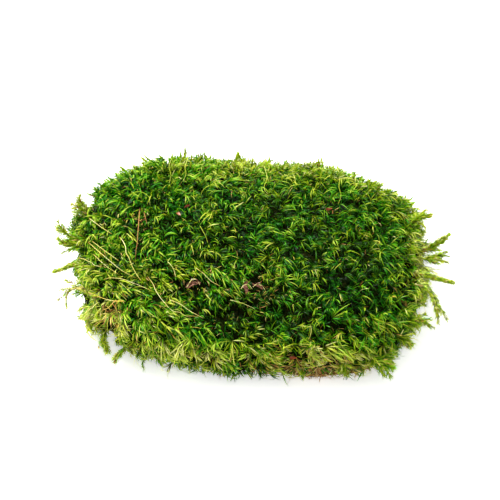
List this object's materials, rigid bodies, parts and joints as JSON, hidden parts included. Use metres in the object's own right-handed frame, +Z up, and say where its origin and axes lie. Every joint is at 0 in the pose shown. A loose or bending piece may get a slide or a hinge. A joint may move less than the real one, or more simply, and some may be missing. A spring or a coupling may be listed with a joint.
{
  "type": "moss clump",
  "caption": "Oblong cushion of green moss with pointed tufts, stray leafy shoots round its edge and straw on top, cut off flat on a brown mat of dead stems.",
  "frame": {"origin": "the middle of the clump's outline, on the flat cut face that it rests on", "axes": "+X along the clump's length, to the right as pictured; -Y is the front; +Z up"},
  "size_m": [0.2104, 0.1518, 0.0488],
  "materials": {
    "living_moss": "soft, slightly glossy leaves",
    "dead_stems": "dull, fibrous",
    "dry_straw": "dry, faintly shiny",
    "brown_needle": "dry, satin",
    "dead_leaf": "papery, dull"
  },
  "bodies": {
    "root": {"moss_cushion": "living_moss", "brown_root_mat": "dead_stems", "bud_scale_1": "brown_needle", "bud_scale_2": "brown_needle", "bud_scale_3": "brown_needle", "bud_scale_4": "brown_needle", "dead_leaf_1": "dead_leaf", "dead_leaf_2": "dead_leaf", "dead_leaf_3": "dead_leaf", "leafy_shoot_front_1": "living_moss", "leafy_shoot_front_2": "living_moss", "leafy_shoot_front_3": "living_moss", "leafy_shoot_left_1": "living_moss", "leafy_shoot_left_2": "living_moss", "leafy_shoot_left_3": "living_moss", "leafy_shoot_left_4": "living_moss", "leafy_shoot_left_5": "living_moss", "leafy_shoot_left_6": "living_moss", "leafy_shoot_left_7": "living_moss", "leafy_shoot_left_8": "living_moss", "leafy_shoot_left_9": "living_moss", "leafy_shoot_right_1": "living_moss", "leafy_shoot_right_2": "living_moss", "leafy_shoot_right_3": "living_moss", "leafy_shoot_right_4": "living_moss", "leafy_shoot_right_5": "living_moss", "leafy_shoot_right_6": "living_moss", "leafy_shoot_right_7": "living_moss", "pine_needle_broken": "brown_needle", "pine_needle_long": "brown_needle", "pine_needle_short": "brown_needle", "straw_stalk_1": "dry_straw", "straw_stalk_2": "dry_straw", "straw_stalk_3": "dry_straw", "straw_stalk_4": "dry_straw", "straw_stalk_5": "dry_straw", "straw_stalk_6": "dry_straw", "straw_stalk_7": "dry_straw", "straw_stalk_8": "dry_straw"}
  },
  "joints": []
}
